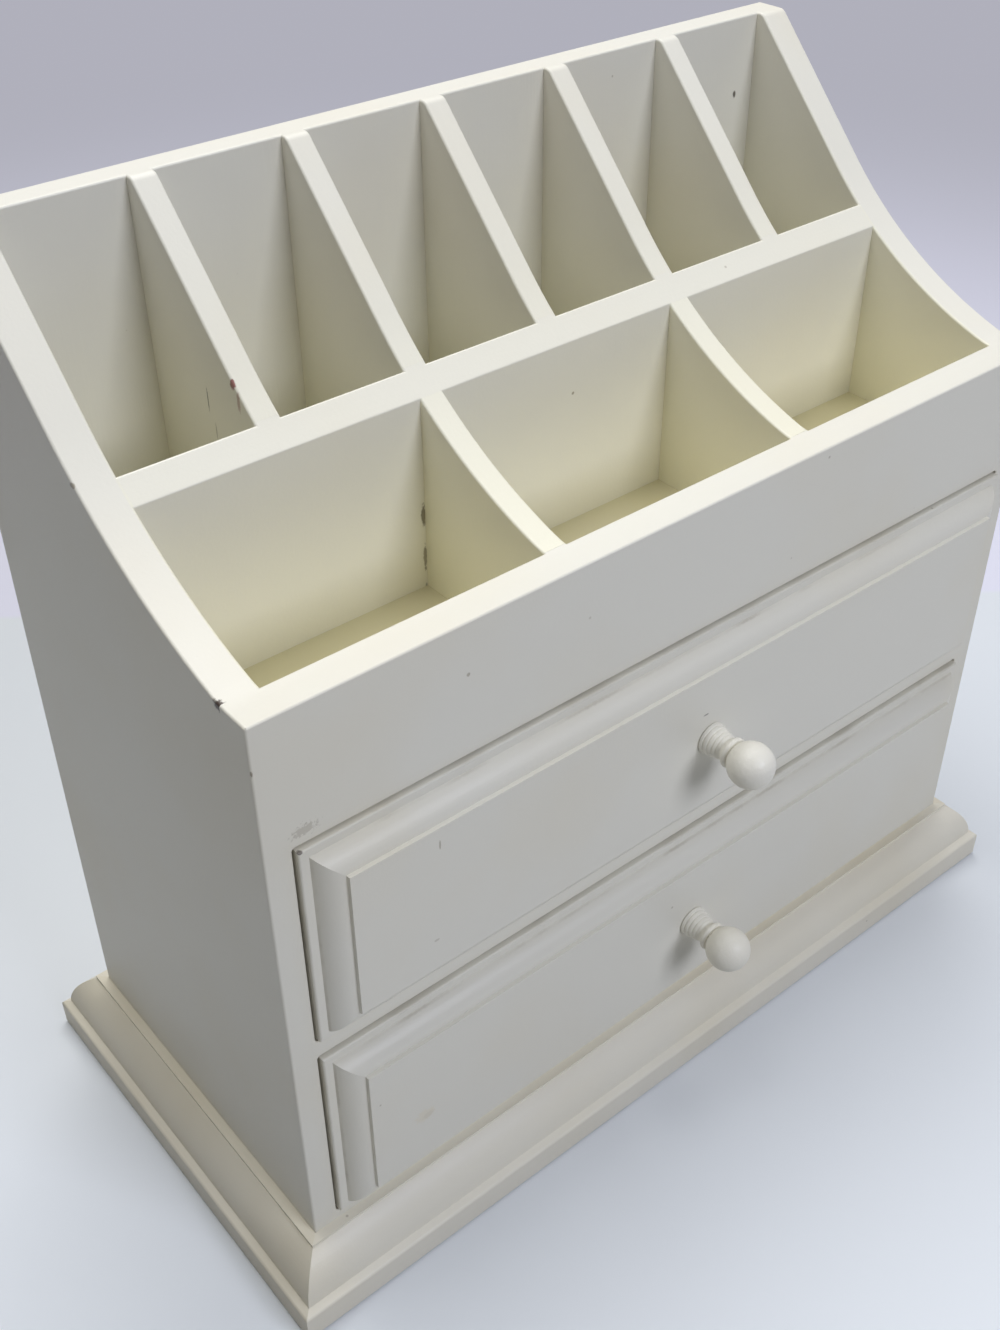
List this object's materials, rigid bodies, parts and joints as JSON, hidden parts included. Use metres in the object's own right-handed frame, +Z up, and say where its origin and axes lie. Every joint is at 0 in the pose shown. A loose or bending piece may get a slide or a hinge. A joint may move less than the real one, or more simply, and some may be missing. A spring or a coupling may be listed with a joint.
{
  "type": "bottle organiser with drawers",
  "caption": "Desktop bottle organiser with a sloping top of open compartments over two shallow moulded drawers with ball knobs, on a mitred base moulding.",
  "frame": {"origin": "centre of the bounding box on the table, under the base moulding", "axes": "+X across to the right seen from the front, +Y to the back, +Z up; the drawers open towards -Y"},
  "size_m": [0.3612, 0.1958, 0.338],
  "materials": {
    "painted_case": "satin ivory paint on fibreboard",
    "painted_moulding": "satin ivory paint on a milled moulding",
    "painted_drawer_front": "satin ivory paint on fibreboard",
    "painted_knob": "satin ivory paint on a turned wooden knob",
    "bare_board": "bare fibreboard",
    "drawer_wood": "bare light wood",
    "hardboard": "smooth hardboard",
    "steel_pins": "bright steel",
    "steel_screws": "zinc plated steel"
  },
  "bodies": {
    "case": {"back_divider_1": "painted_case", "back_divider_2": "painted_case", "back_divider_3": "painted_case", "back_divider_4": "painted_case", "back_divider_5": "painted_case", "back_panel": "painted_case", "base_moulding_back": "painted_moulding", "base_moulding_front": "painted_moulding", "base_moulding_left": "painted_moulding", "base_moulding_right": "painted_moulding", "bottom_panel": "bare_board", "case_pins": "steel_pins", "compartment_floor": "painted_case", "dust_panel": "bare_board", "face_frame": "painted_case", "front_divider_1": "painted_case", "front_divider_2": "painted_case", "left_side": "painted_case", "moulding_pins": "steel_pins", "right_side": "painted_case", "row_partition": "painted_case"},
    "lower_drawer": {"lower_drawer_back": "drawer_wood", "lower_drawer_bottom": "hardboard", "lower_drawer_front": "painted_drawer_front", "lower_drawer_inner_front": "drawer_wood", "lower_drawer_left_side": "drawer_wood", "lower_drawer_pins": "steel_pins", "lower_drawer_right_side": "drawer_wood", "lower_front_screws": "steel_screws", "lower_knob": "painted_knob", "lower_knob_screw": "steel_screws"},
    "upper_drawer": {"upper_drawer_back": "drawer_wood", "upper_drawer_bottom": "hardboard", "upper_drawer_front": "painted_drawer_front", "upper_drawer_inner_front": "drawer_wood", "upper_drawer_left_side": "drawer_wood", "upper_drawer_pins": "steel_pins", "upper_drawer_right_side": "drawer_wood", "upper_front_screws": "steel_screws", "upper_knob": "painted_knob", "upper_knob_screw": "steel_screws"}
  },
  "joints": [
    {"name": "lower_drawer_slide", "type": "slide", "parent": "case", "child": "lower_drawer", "axis": [0, -1, 0], "range_m": [0, 0.095]},
    {"name": "upper_drawer_slide", "type": "slide", "parent": "case", "child": "upper_drawer", "axis": [0, -1, 0], "range_m": [0, 0.095]}
  ]
}
